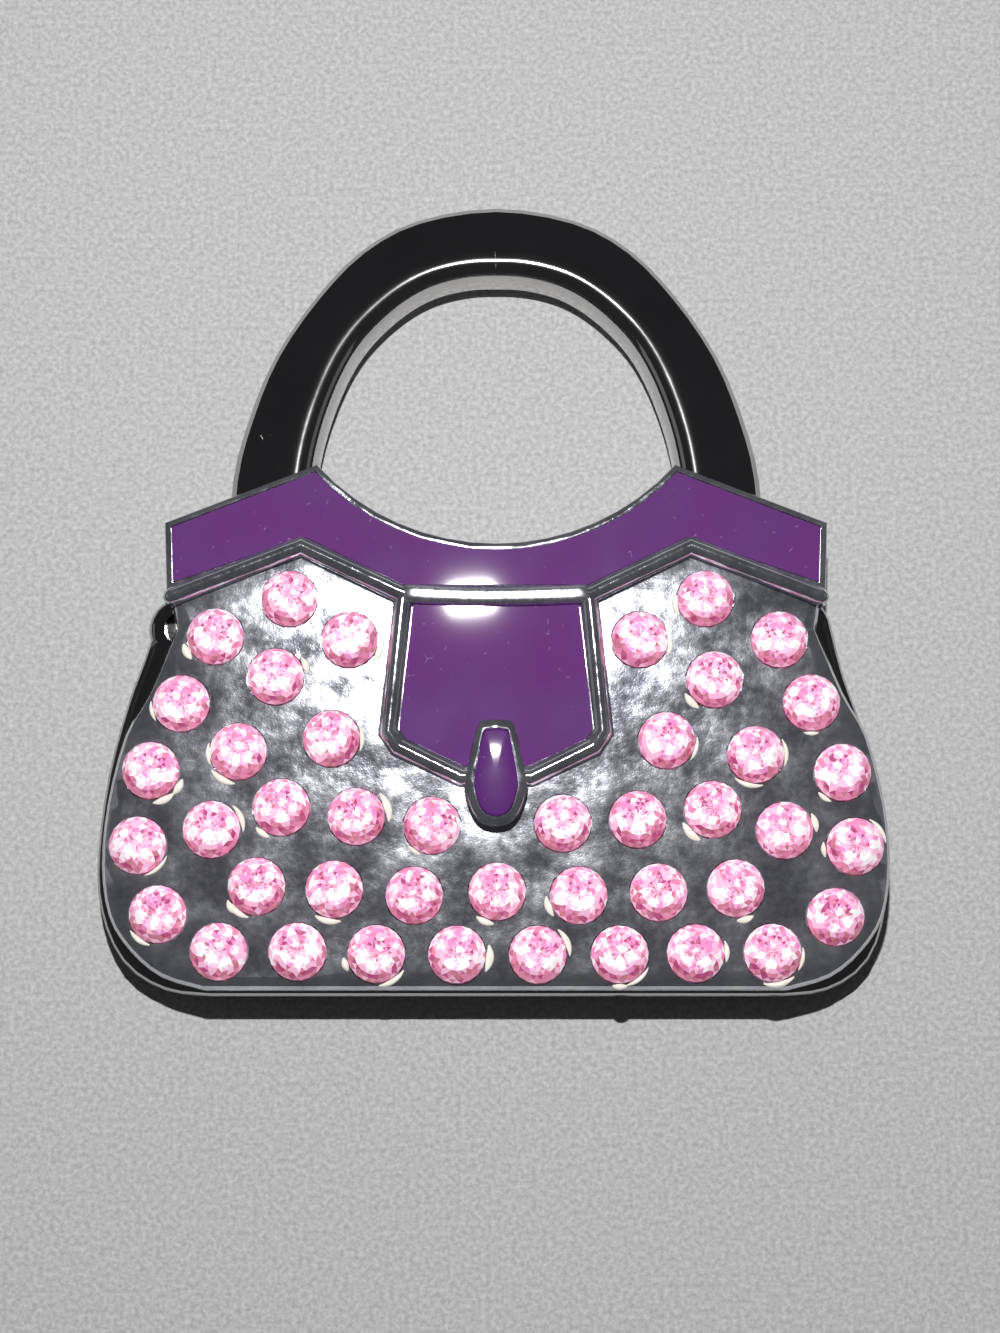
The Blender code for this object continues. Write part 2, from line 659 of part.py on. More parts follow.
def build_rear_casting(material):
    casting = arch("handle_and_back")
    side = smooth_line(spread(SHIELD_SHARES, ARCH_OUTER_HALF_W, SHIELD_TOP_Y, SHIELD_DROP), 3)
    shield = mirrored([(0.0, SHIELD_TOP_Y), (ARCH_OUTER_HALF_W - SHIELD_ROUND, SHIELD_TOP_Y), *side])
    combine(casting, stack("shield", shield, rounded_levels(
        REAR_Z, BACK_TOP, SHIELD_ROUND, SHIELD_ROUND)), "UNION")
    tail = [(HINGE_X, HINGE_Y - LUG_HALF_W), (HINGE_X + LUG_REACH, HINGE_Y - LUG_HALF_W),
            (HINGE_X + LUG_REACH, HINGE_Y + LUG_HALF_W), (HINGE_X, HINGE_Y + LUG_HALF_W)]
    steps = 8
    for i in range(1, steps):
        angle = math.pi / 2 + math.pi * i / steps
        tail.append((HINGE_X + LUG_HALF_W * math.cos(angle),
                     HINGE_Y + LUG_HALF_W * math.sin(angle)))
    combine(casting, stack("lug", tail, [(REAR_Z, 0), (REAR_Z + LUG_THICK, 0)]), "UNION")
    hole = [(REAR_Z - OVERRUN, PIN_R + PRESS_GAP), (ARM_TOP, PIN_R + PRESS_GAP)]
    combine(casting, disc("hole", HINGE_X, HINGE_Y, hole, SMALL_SIDES), "DIFFERENCE")
    seat = [(REAR_Z - OVERRUN, PAD_R + JOIN_GAP), (REAR_Z + PAD_SEAT_DEPTH, PAD_R + JOIN_GAP)]
    combine(casting, disc("seat", 0.0, 0.0, seat, 2 * ROUND_SIDES), "DIFFERENCE")
    hole = [(PLATE_Z - STUD_LENGTH - JOIN_GAP, STUD_R + JOIN_GAP),
            (BACK_TOP + OVERRUN, STUD_R + JOIN_GAP)]
    combine(casting, discs("holes", stud_places(), hole, SMALL_SIDES), "DIFFERENCE")
    return finish(casting, "handle_and_back", material)


def arm_bar(name):
    """The bent bar of the arm: one rounded section along its middle line, with a round tip."""
    tip_shares = [(0.5, 0.866), (0.866, 0.5), (1.0, 0.15)]
    round_shares = [(1.0, 0.0), (0.3, 0.3), (0.0, 1.0)]
    line = arm_middle_line()
    ahead = (line[-1] - line[-2]).normalized()
    stations = [(point, 1.0) for point in line]
    stations += [(line[-1] + ahead * (out * ARM_HALF_W), width) for out, width in tip_shares]
    low = [(ARM_HALF_W - side * ARM_ROUND, ARM_Z + up * ARM_ROUND) for side, up in round_shares]
    high = [(ARM_HALF_W - side * ARM_ROUND, ARM_TOP - up * ARM_ROUND)
            for side, up in reversed(round_shares)]
    right = low + high
    section = right + [(-x, z) for x, z in reversed(right)]
    bm = bmesh.new()
    rings = []
    for i, (place, width) in enumerate(stations):
        before = stations[max(i - 1, 0)][0]
        after = stations[min(i + 1, len(stations) - 1)][0]
        along = (after - before).normalized()
        side = Vector((along.y, -along.x)) * width
        rings.append([bm.verts.new((*(place + side * x), z)) for x, z in section])
    for low, high in zip(rings, rings[1:]):
        for i in range(len(low)):
            j = (i + 1) % len(low)
            bm.faces.new((low[i], low[j], high[j], high[i]))
    bm.faces.new(list(reversed(rings[0])))
    bm.faces.new(rings[-1])
    return mesh_object(name, bm)


def build_hook_arm(material, pivot):
    arm = arm_bar("hook_arm")
    eye_low, eye_high = ARM_Z - EYE_PROUD, ARM_TOP + EYE_PROUD
    eye = [(eye_low, EYE_R - EYE_ROUND), (eye_low + EYE_ROUND, EYE_R),
           (eye_high - EYE_ROUND, EYE_R), (eye_high - EYE_ROUND / 3, EYE_R - EYE_ROUND / 3),
           (eye_high, EYE_R - EYE_ROUND)]
    combine(arm, disc("eye", HINGE_X, HINGE_Y, eye, ROUND_SIDES), "UNION")
    lug_top = REAR_Z + LUG_THICK + LUG_GAP
    lug_r = LUG_HALF_W + LUG_SWEEP_GAP
    combine(arm, disc("relief", HINGE_X, HINGE_Y,
                      [(ARM_Z - OVERRUN, lug_r), (lug_top, lug_r)], ROUND_SIDES), "DIFFERENCE")
    bore = PIN_R + RUNNING_GAP
    combine(arm, disc("bore", HINGE_X, HINGE_Y,
                      [(ARM_Z - OVERRUN, bore), (ARM_TOP + OVERRUN, bore)],
                      SMALL_SIDES), "DIFFERENCE")
    combine(arm, disc("pit", HINGE_X, HINGE_Y,
                      [(ARM_TOP - EYE_PIT_DEPTH, EYE_PIT_R), (ARM_TOP + OVERRUN, EYE_PIT_R)],
                      SMALL_SIDES), "DIFFERENCE")
    pocket = MAGNET_R + MAGNET_GAP
    combine(arm, disc("pocket", MAGNET_X, MAGNET_Y,
                      [(ARM_TOP - MAGNET_THICK - MAGNET_GAP, pocket),
                       (ARM_TOP + OVERRUN, pocket)], SMALL_SIDES), "DIFFERENCE")
    finish(arm, "hook_arm", material)
    hang_on(arm, pivot)


def hang_on(item, pivot):
    """Put the object's origin on the hinge's axis and its place under the pivot."""
    offset = Vector(pivot.location)
    for vertex in item.data.vertices:
        vertex.co -= offset
    item.parent = pivot


def build_hinge(pin_material, washer_material):
    pit_floor = ARM_TOP - EYE_PIT_DEPTH
    washer_z = pit_floor + RUNNING_GAP
    head_z = washer_z + WASHER_THICK + RUNNING_GAP / 2
    head_r = EYE_PIT_R - HEAD_MARGIN
    pin = disc("hinge_pin", HINGE_X, HINGE_Y,
               [(REAR_Z, PIN_R), (head_z, PIN_R)], SMALL_SIDES)
    head = disc("head", HINGE_X, HINGE_Y,
                [(head_z - HEAD_MARGIN / 2, PIN_R), (head_z, head_r),
                 (head_z + HEAD_THICK / 2, head_r),
                 (head_z + HEAD_THICK, head_r / 2)], SMALL_SIDES)
    combine(pin, head, "UNION")
    finish(pin, "hinge_pin", pin_material)
    washer = disc("hinge_washer", HINGE_X, HINGE_Y,
                  [(washer_z, head_r), (washer_z + WASHER_THICK, head_r)], SMALL_SIDES)
    hole = PIN_R + RUNNING_GAP
    combine(washer, disc("hole", HINGE_X, HINGE_Y,
                         [(washer_z - OVERRUN, hole), (washer_z + OVERRUN, hole)],
                         SMALL_SIDES), "DIFFERENCE")
    finish(washer, "hinge_washer", washer_material)


def build_magnets(material, pivot):
    arm_low = ARM_TOP - MAGNET_THICK
    arm_magnet = disc("arm_magnet", MAGNET_X, MAGNET_Y,
                      [(arm_low, MAGNET_R), (ARM_TOP, MAGNET_R)], SMALL_SIDES, material)
    hang_on(arm_magnet, pivot)
    disc("body_magnet", MAGNET_X, MAGNET_Y,
         [(PLATE_Z, MAGNET_R), (PLATE_Z + MAGNET_THICK, MAGNET_R)], SMALL_SIDES, material)


def build_table_pad(material):
    top = REAR_Z + PAD_SEAT_DEPTH - JOIN_GAP
    disc("table_pad", 0.0, 0.0,
         [(0.0, PAD_R - PAD_ROUND), (PAD_ROUND, PAD_R), (top, PAD_R)], 2 * ROUND_SIDES, material)


def main():
    for item in list(bpy.data.objects):
        bpy.data.objects.remove(item)
    pivot = bpy.data.objects.new("hinge_axis", None)
    pivot.location = (HINGE_X, HINGE_Y, ARM_Z)
    bpy.context.scene.collection.objects.link(pivot)
    bpy.context.view_layer.update()

    build_front_plate(make_material("bright_chrome", (0.36, 0.36, 0.39), 0.16, 1.0))
    build_enamels(make_material("purple_enamel", (0.105, 0.018, 0.185), 0.12, 0.0))
    build_stones(make_material("pink_stone", (0.86, 0.30, 0.55), 0.05, 0.0))
    build_rear_casting(make_material("dark_mirror_plating", (0.05, 0.05, 0.06), 0.10, 1.0))
    build_hook_arm(make_material("dark_arm_plating", (0.06, 0.06, 0.07), 0.12, 1.0), pivot)
    build_hinge(make_material("steel_pin", (0.30, 0.29, 0.28), 0.30, 1.0),
                make_material("steel_washer", (0.45, 0.44, 0.43), 0.35, 1.0))
    build_magnets(make_material("nickel_magnet", (0.50, 0.50, 0.50), 0.25, 1.0), pivot)
    build_table_pad(make_material("black_rubber", (0.02, 0.02, 0.02), 0.85, 0.0))


main()
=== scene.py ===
# %% [markdown]
# # A folding bag hook in the shape of a small handbag
#
# The object is about as wide as a matchbox is long. It is a chromed casting with three
# fields of purple enamel, forty-three pink stones, an arched handle, and a dark arm that
# swings out from behind. The solids that carry the mechanism are already made and stay
# where they are. This script gives every surface its finish, cuts the stones properly,
# and adds the small things that a jeweller would look for.

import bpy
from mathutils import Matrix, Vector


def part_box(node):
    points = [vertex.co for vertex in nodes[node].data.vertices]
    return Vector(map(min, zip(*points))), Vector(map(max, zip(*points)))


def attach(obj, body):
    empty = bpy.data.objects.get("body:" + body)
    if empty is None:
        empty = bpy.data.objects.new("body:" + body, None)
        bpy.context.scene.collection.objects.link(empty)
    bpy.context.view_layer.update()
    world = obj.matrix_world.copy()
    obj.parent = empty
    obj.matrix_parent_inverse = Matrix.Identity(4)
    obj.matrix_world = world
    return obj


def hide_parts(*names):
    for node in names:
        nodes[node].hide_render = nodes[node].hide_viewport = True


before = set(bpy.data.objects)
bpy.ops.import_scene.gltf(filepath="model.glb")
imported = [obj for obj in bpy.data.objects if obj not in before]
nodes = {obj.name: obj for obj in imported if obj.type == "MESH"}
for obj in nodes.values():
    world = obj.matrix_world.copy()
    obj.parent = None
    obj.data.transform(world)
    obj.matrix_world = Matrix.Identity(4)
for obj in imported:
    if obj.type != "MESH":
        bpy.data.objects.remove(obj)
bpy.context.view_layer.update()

# %% Imports and units
import math
import random

import bmesh
import bpy
from mathutils import Vector

MM = 0.001
BODY = "body"

# %% [markdown]
# ## Materials made of nodes
#
# A finish is built from a few kinds of texture, all in object space, so that the grain
# keeps its real size. The helpers below add a texture, squeeze its range and feed it to
# a bump or a colour. Object space is used and not the surface's own map, because these
# pieces have no map and the grain must not stretch.

# %% Node helpers
def new_material(name):
    material = bpy.data.materials.new(name)
    material.use_nodes = True
    shader = material.node_tree.nodes["Principled BSDF"]
    return material, material.node_tree, shader


def add_node(tree, kind, **settings):
    node = tree.nodes.new(kind)
    for key, value in settings.items():
        setattr(node, key, value)
    return node


def object_place(tree, stretch=(1, 1, 1)):
    """The point on the piece in metres, stretched where a grain has a direction."""
    place = add_node(tree, "ShaderNodeTexCoord")
    mapping = add_node(tree, "ShaderNodeMapping")
    mapping.inputs["Scale"].default_value = stretch
    tree.links.new(place.outputs["Object"], mapping.inputs["Vector"])
    return mapping.outputs["Vector"]


def noise(tree, place, size, detail=4.0, rough=0.55):
    """Cloudy noise whose blotches are about the given size in metres."""
    node = add_node(tree, "ShaderNodeTexNoise")
    node.inputs["Scale"].default_value = 1 / size
    node.inputs["Detail"].default_value = detail
    node.inputs["Roughness"].default_value = rough
    tree.links.new(place, node.inputs["Vector"])
    return node.outputs["Fac"]


def squeeze(tree, value, low, high, to_low, to_high):
    node = add_node(tree, "ShaderNodeMapRange", clamp=True)
    for name, number in zip(("From Min", "From Max", "To Min", "To Max"),
                            (low, high, to_low, to_high)):
        node.inputs[name].default_value = number
    tree.links.new(value, node.inputs["Value"])
    return node.outputs["Result"]


def blend_colors(tree, factor, first, second):
    node = add_node(tree, "ShaderNodeMix", data_type="RGBA")
    tree.links.new(factor, node.inputs[0])
    for socket, color in ((node.inputs[6], first), (node.inputs[7], second)):
        if isinstance(color, tuple):
            socket.default_value = (*color, 1)
        else:
            tree.links.new(color, socket)
    return node.outputs[2]


def blend_values(tree, factor, first, second):
    node = add_node(tree, "ShaderNodeMix", data_type="FLOAT")
    for socket, value in zip((node.inputs[0], node.inputs[2], node.inputs[3]),
                             (factor, first, second)):
        if isinstance(value, float):
            socket.default_value = value
        else:
            tree.links.new(value, socket)
    return node.outputs[0]


def height_mask(tree, place, low, high):
    """Zero below the low height and one above the high one."""
    split = add_node(tree, "ShaderNodeSeparateXYZ")
    tree.links.new(place, split.inputs[0])
    return squeeze(tree, split.outputs["Z"], low, high, 0.0, 1.0)


def bump(tree, shader, height, depth, strength=1.0, under=None):
    node = add_node(tree, "ShaderNodeBump")
    node.inputs["Distance"].default_value = depth
    node.inputs["Strength"].default_value = strength
    tree.links.new(height, node.inputs["Height"])
    if under is not None:
        tree.links.new(under, node.inputs["Normal"])
    tree.links.new(node.outputs["Normal"], shader.inputs["Normal"])
    return node.outputs["Normal"]


def hair_scratches(tree, place, size, width, seed_shift):
    """Short fine lines: the borders of large cells, seen only where a noise lets them."""
    shifted = add_node(tree, "ShaderNodeVectorMath", operation="ADD")
    shifted.inputs[1].default_value = (seed_shift, seed_shift, 0)
    tree.links.new(place, shifted.inputs[0])
    cells = add_node(tree, "ShaderNodeTexVoronoi", feature="DISTANCE_TO_EDGE")
    cells.inputs["Scale"].default_value = 1 / size
    tree.links.new(shifted.outputs[0], cells.inputs["Vector"])
    line = squeeze(tree, cells.outputs["Distance"], 0.0, width / size, 1.0, 0.0)
    patches = noise(tree, shifted.outputs[0], size * 0.3, 2.0)
    mask = squeeze(tree, patches, 0.62, 0.70, 0.0, 1.0)
    both = add_node(tree, "ShaderNodeMath", operation="MULTIPLY")
    tree.links.new(line, both.inputs[0])
    tree.links.new(mask, both.inputs[1])
    return both.outputs[0]


print("helpers ready")

# %% [markdown]
# ## Chrome on the face
#
# The face was cast, roughly polished and plated. Plating hides nothing: it shows the
# orange-peel of the casting as a grey mottle, with clean bright patches where the
# polishing wheel reached. A mirror would be wrong here. The mottle is colour, roughness
# and bump from the same noise, so that they agree as they do on metal. The beads, the
# rims and the clasp stand proud and get polished by handling, so above a certain height
# the plating is a little smoother. The worn bead has a duller version of this chrome.

# %% Chrome of the front plate
CREST_Z = (6.9 * MM, 7.05 * MM)
WAVE_DEPTH = 0.06 * MM


def face_chrome(name, crest_rough):
    material, tree, shader = new_material(name)
    place = object_place(tree)
    waves = noise(tree, place, 3.4 * MM, 2.5, 0.5)
    cloud = squeeze(tree, waves, 0.36, 0.66, 0.0, 1.0)
    grain = noise(tree, place, 0.5 * MM, 5.0, 0.7)
    speck = noise(tree, place, 0.16 * MM, 2.0, 0.6)
    flecks = squeeze(tree, grain, 0.36, 0.64, 0.0, 1.0)
    mottle = blend_values(tree, 0.36, cloud, flecks)
    color = blend_colors(tree, mottle, (0.40, 0.41, 0.48), (0.80, 0.82, 0.88))
    tree.links.new(color, shader.inputs["Base Color"])
    rough = blend_values(tree, height_mask(tree, place, CREST_Z[0], CREST_Z[1]),
                         squeeze(tree, mottle, 0.1, 0.9, 0.065, 0.115),
                         squeeze(tree, grain, 0.35, 0.65, crest_rough[0], crest_rough[1]))
    tree.links.new(rough, shader.inputs["Roughness"])
    shader.inputs["Metallic"].default_value = 0.90
    rolling = bump(tree, shader, waves, WAVE_DEPTH, 1.0)
    peel = bump(tree, shader, grain, 0.006 * MM, 0.8, rolling)
    bump(tree, shader, speck, 0.003 * MM, 0.8, peel)
    return material


CHROME = face_chrome("face_chrome", (0.04, 0.09))
WORN_CHROME = face_chrome("worn_chrome", (0.22, 0.32))
print("face chrome:", len(CHROME.node_tree.nodes), "nodes")

# %% [markdown]
# ## Dark mirror plating
#
# The handle and the arm are smoother: they look black because they reflect a dark room,
# and white where they face the paper. So the metal itself is only a little darker than
# chrome, with a low roughness, and thin bright scratches from keys and coins. The
# rounded edges are a little duller than the broad faces, as buffing leaves them.

# %% Plating of the handle and the arm
def mirror_plating(name, color, shift, face_z, edge_rough):
    material, tree, shader = new_material(name)
    place = object_place(tree)
    scratch = hair_scratches(tree, place, 5.5 * MM, 0.03 * MM, shift)
    smear = noise(tree, place, 3.0 * MM, 4.0, 0.6)
    tint = blend_colors(tree, squeeze(tree, smear, 0.35, 0.7, 0.0, 1.0),
                        color, tuple(c * 1.1 for c in color))
    tree.links.new(blend_colors(tree, scratch, tint, (0.85, 0.84, 0.82)),
                   shader.inputs["Base Color"])
    on_face = height_mask(tree, place, face_z - 0.025 * MM, face_z - 0.005 * MM)
    smooth = blend_values(tree, on_face,
                          squeeze(tree, smear, 0.3, 0.7, edge_rough[0], edge_rough[1]),
                          squeeze(tree, smear, 0.3, 0.7, 0.010, 0.020))
    tree.links.new(blend_values(tree, scratch, smooth, 0.35), shader.inputs["Roughness"])
    shader.inputs["Metallic"].default_value = 1.0
    bump(tree, shader, smear, 0.004 * MM, 0.15)
    return material


DARK = mirror_plating("dark_mirror_plating", (0.50, 0.49, 0.49), 0.0, 4.1 * MM, (0.12, 0.16))
# The lip's plating is a lighter copy of the handle's: a painted highlight along the inner
# edge. The arm's copy is a little darker.
LIP_LIGHTER_PLATING = mirror_plating("lip_plating_painted_highlight", (0.56, 0.55, 0.54), 0.0, 9.0 * MM, (0.055, 0.075))
ARM_DARK = mirror_plating("arm_plating", (0.46, 0.45, 0.45), 0.013, 3.9 * MM, (0.12, 0.16))
print("two mirror platings")

# %% [markdown]
# ## Purple enamel
#
# Soft enamel is coloured resin poured into the recess and left to level. It is glossy,
# a little uneven in depth, and carries hair scratches. A clear coat on a dark
# purple base gives the depth, and the coat has its own low roughness.

# %% Enamel
def purple_enamel(name, gloss_rough):
    material, tree, shader = new_material(name)
    place = object_place(tree)
    depth = noise(tree, place, 6.0 * MM, 2.0, 0.5)
    base = blend_colors(tree, squeeze(tree, depth, 0.35, 0.65, 0.0, 1.0),
                        (0.108, 0.020, 0.178), (0.138, 0.022, 0.184))
    scratch = hair_scratches(tree, place, 1.7 * MM, 0.022 * MM, 0.031)
    tree.links.new(blend_colors(tree, scratch, base, (0.42, 0.26, 0.50)),
                   shader.inputs["Base Color"])
    tree.links.new(squeeze(tree, depth, 0.3, 0.7, 0.45, 0.6), shader.inputs["Roughness"])
    shader.inputs["Specular IOR Level"].default_value = 0.1
    shader.inputs["Coat Weight"].default_value = 0.8
    shader.inputs["Coat Roughness"].default_value = gloss_rough
    wave = noise(tree, place, 2.2 * MM, 2.0, 0.5)
    bump(tree, shader, wave, 0.01 * MM, 0.3)
    return material


ENAMEL = purple_enamel("purple_enamel", 0.02)
CLASP_ENAMEL = purple_enamel("clasp_enamel", 0.085)
print("enamel ready")

# %% [markdown]
# ## Steel, magnet and rubber
#
# These pieces hardly show, but someone will turn the hook over or swing its arm. The
# rivet is turned steel, the magnets are nickel plated, and the pad is moulded rubber
# with a fine matt skin.

# %% Small finishes
def plain_metal(name, color, low_rough, high_rough, size):
    material, tree, shader = new_material(name)
    place = object_place(tree)
    grain = noise(tree, place, size, 4.0, 0.6)
    tree.links.new(blend_colors(tree, grain, tuple(c * 0.8 for c in color), color),
                   shader.inputs["Base Color"])
    tree.links.new(squeeze(tree, grain, 0.3, 0.7, low_rough, high_rough),
                   shader.inputs["Roughness"])
    shader.inputs["Metallic"].default_value = 1.0
    bump(tree, shader, grain, 0.01 * MM, 0.4)
    return material


def pad_rubber():
    material, tree, shader = new_material("pad_rubber")
    place = object_place(tree)
    skin = noise(tree, place, 0.35 * MM, 5.0, 0.7)
    tree.links.new(blend_colors(tree, skin, (0.012, 0.012, 0.012), (0.035, 0.034, 0.034)),
                   shader.inputs["Base Color"])
    tree.links.new(squeeze(tree, skin, 0.3, 0.7, 0.65, 0.85), shader.inputs["Roughness"])
    bump(tree, shader, skin, 0.03 * MM, 0.8)
    return material


STEEL = plain_metal("turned_steel", (0.42, 0.40, 0.38), 0.25, 0.45, 0.3 * MM)
NICKEL = plain_metal("nickel_plate", (0.62, 0.60, 0.57), 0.15, 0.30, 0.5 * MM)
RUBBER = pad_rubber()
print("steel, nickel and rubber")

# %% [markdown]
# ## Dressing the solids
#
# The mechanical solids keep their shape. Three modifiers make them shade as smooth metal:
# a weld joins the split corners, an edge split keeps only the real edges sharp, and
# weighted normals keep the broad faces flat right up to their rounded edges.

# %% Put the finishes on the solids
SHARP = math.radians(38)
FINISH = {
    "front_plate": CHROME, "handle_and_back": DARK, "hook_arm": ARM_DARK,
    "top_band_enamel": ENAMEL, "flap_enamel": ENAMEL, "clasp_enamel": ENAMEL,
    "hinge_pin": STEEL, "hinge_washer": STEEL, "arm_magnet": NICKEL,
    "body_magnet": NICKEL, "table_pad": RUBBER,
}


def dress(node_name, material):
    item = nodes[node_name]
    item.data.materials.clear()
    item.data.materials.append(material)
    for polygon in item.data.polygons:
        polygon.use_smooth = True
    weld = item.modifiers.new("Weld", "WELD")
    weld.merge_threshold = 0.001 * MM
    split = item.modifiers.new("Edges", "EDGE_SPLIT")
    split.split_angle = SHARP
    split.use_edge_sharp = False
    flat = item.modifiers.new("Flat faces", "WEIGHTED_NORMAL")
    flat.weight = 100


for node_name, material in FINISH.items():
    dress(node_name, material)
print("dressed:", ", ".join(sorted(FINISH)))

# %% [markdown]
# ## Shapes made of rings
#
# Every added piece is a stack or a sweep of rings that have the same number of corners.
# Three helpers join two rings, turn the faces outwards and put the mesh into the scene.

# %% Shape helpers
def join_rings(bm, first, second):
    for i in range(len(first)):
        j = (i + 1) % len(first)
        bm.faces.new((first[i], first[j], second[j], second[i]))


def close_mesh(bm, name):
    bmesh.ops.recalc_face_normals(bm, faces=bm.faces)
    mesh = bpy.data.meshes.new(name)
    bm.to_mesh(mesh)
    bm.free()
    return mesh


def show_mesh(name, mesh):
    item = bpy.data.objects.new(name, mesh)
    bpy.context.scene.collection.objects.link(item)
    return item


print("shape helpers ready")

# %% [markdown]
# ## The stones
#
# Each stone is a foil-backed brilliant. What the eye sees is not its surface but the
# foil, broken up by the crown and the pavilion into small pink, lilac and white panes
# under a dark pink rim. Real refraction in so small a stone needs thousands of samples,
# so the panes are cut into the mesh as facets. Each facet gets its own painted colour in
# place of the refraction, under a clear coat. The white panes are painted highlights where
# the light's image falls, the side toward the light is painted lighter, and the panes
# glow a little: all of this is painted light.

# %% Measures of a stone
stone_names = sorted(name for name in nodes if name.startswith("stone_"))
stone_low, stone_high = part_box(stone_names[0])
STONE_R = (stone_high[0] - stone_low[0]) / 2
STONE_TALL = stone_high[2] - stone_low[2]
GIRDLE_SHARES = (0.385, 0.515)
SECTORS = 20
BASE_SHARE = 0.62
GIRDLE_WIDE = 0.995
CROWN_RINGS = ((0.88, 0.36), (0.74, 0.70), (0.58, 1.0), (0.44, 1.0), (0.30, 1.0),
               (0.15, 1.0))
# Pane colours. They stand in for light in the stone; the white is the colour of the painted
# highlights.
DEEP = (0.48, 0.07, 0.20)
ROSE = (0.82, 0.25, 0.42)
SALMON = (0.60, 0.19, 0.26)
MAGENTA = (0.86, 0.30, 0.62)
PALE = (1.0, 0.56, 0.76)
PAINTED_GLINT_WHITE = (1.0, 0.95, 0.97)
# Where each stone gets its painted highlights: x, y and size in shares of the radius.
PAINTED_GLINT_SPOTS = ((-0.52, -0.10, 0.25), (-0.10, -0.36, 0.24), (0.42, -0.22, 0.26),
         (0.66, 0.20, 0.20), (-0.62, 0.36, 0.17), (0.02, 0.16, 0.14), (0.10, 0.66, 0.14))
print(len(stone_names), "stones of", round(2 * STONE_R / MM, 2), "mm")

# %% Cut one stone
def pane_color(x, y, painted_glints, chance):
    """Painted colour of a pane at (x, y), in shares of the radius: foil pink with painted
    highlights and a lighter side toward the light.
    """
    from_center = math.hypot(x, y)
    # Nearness to the painted highlight spots, with some chance: near them the panes are
    # painted white, a little further off pale.
    shine = max(math.exp(-((x - gx) ** 2 + (y - gy) ** 2) / size ** 2)
                for gx, gy, size in painted_glints) + chance.uniform(-0.30, 0.22)
    # Here and in the ring further in, the side toward the light is painted lighter and the far
    # side darker: painted light and shade.
    if from_center > 0.93:
        return chance.choice((PALE, ROSE, PAINTED_GLINT_WHITE) if y > -0.4 else (SALMON, ROSE, PALE))
    if shine > 0.48:
        return PAINTED_GLINT_WHITE
    if shine > 0.22:
        return PALE
    if from_center > 0.72:
        return chance.choice((SALMON, ROSE, DEEP) if y < 0 else (PALE, ROSE, MAGENTA, PAINTED_GLINT_WHITE))
    if y > 0.1:
        return chance.choice((MAGENTA, MAGENTA, ROSE, PALE, DEEP))
    return chance.choice((ROSE, MAGENTA, PALE, SALMON))


def ring(bm, radius, z, turn):
    return [bm.verts.new((radius * math.cos(math.tau * (i + turn) / SECTORS),
                          radius * math.sin(math.tau * (i + turn) / SECTORS), z))
            for i in range(SECTORS)]


def cut_stone(name, chance):
    """Rings of panes, each turned half a step from the last, over a plain girdle."""
    bm = bmesh.new()
    low_z, high_z = (share * STONE_TALL for share in GIRDLE_SHARES)
    rise = STONE_TALL - high_z
    base = ring(bm, STONE_R * BASE_SHARE, 0.0, 0)
    rings = [ring(bm, STONE_R * GIRDLE_WIDE, z, 0) for z in (low_z, high_z)]
    join_rings(bm, base, rings[0])
    join_rings(bm, rings[0], rings[1])
    for count, (wide, tall) in enumerate(CROWN_RINGS):
        wide_ring = rings[-1]
        if count % 2 == 0:
            narrow = ring(bm, STONE_R * wide, high_z + tall * rise, 0.5)
            shifted = narrow
        else:
            narrow = ring(bm, STONE_R * wide, high_z + tall * rise, 0)
            shifted = narrow[1:] + narrow[:1]
        for i in range(SECTORS):
            j = (i + 1) % SECTORS
            bm.faces.new((wide_ring[i], wide_ring[j], shifted[i]))
            bm.faces.new((shifted[i], wide_ring[j], shifted[j]))
        rings.append(narrow)
    center = bm.verts.new((0, 0, STONE_TALL))
    last = rings[-1]
    for i in range(SECTORS):
        bm.faces.new((last[i], last[(i + 1) % SECTORS], center))
    bm.faces.new(list(reversed(base)))
    bmesh.ops.recalc_face_normals(bm, faces=bm.faces)
    paint = bm.loops.layers.float_color.new("pane")
    turn = chance.uniform(-0.5, 0.5)
    # The painted highlight spots shift a little from stone to stone.
    painted_glints = [(gx + chance.uniform(-0.10, 0.10), gy + chance.uniform(-0.10, 0.10),
              size * chance.uniform(0.75, 1.2)) for gx, gy, size in PAINTED_GLINT_SPOTS]
    for face in bm.faces:
        middle = face.calc_center_median()
        x, y = middle.x / STONE_R, middle.y / STONE_R
        color = pane_color(x, y, painted_glints, chance)
        for corner in face.loops:
            corner[paint] = (*color, 1)
    mesh = bpy.data.meshes.new(name)
    bm.to_mesh(mesh)
    bm.free()
    return mesh, turn


# %% The stones' material
def stone_material():
    material, tree, shader = new_material("foiled_pink_glass")
    pane = add_node(tree, "ShaderNodeAttribute", attribute_name="pane")
    place = object_place(tree)
    flaw = noise(tree, place, 0.5 * MM, 3.0, 0.6)
    color = blend_colors(tree, squeeze(tree, flaw, 0.45, 0.7, 0.0, 0.35),
                         pane.outputs["Color"], (0.86, 0.44, 0.64))
    tree.links.new(color, shader.inputs["Base Color"])
    # The panes glow a little through emission: painted light, though the stone is no lamp.
    tree.links.new(color, shader.inputs["Emission Color"])
    shader.inputs["Emission Strength"].default_value = 0.30
    tree.links.new(squeeze(tree, flaw, 0.3, 0.7, 0.05, 0.16), shader.inputs["Roughness"])
    shader.inputs["Coat Weight"].default_value = 1.0
    shader.inputs["Coat Roughness"].default_value = 0.02
    shader.inputs["IOR"].default_value = 1.56
    return material


STONE_GLASS = stone_material()

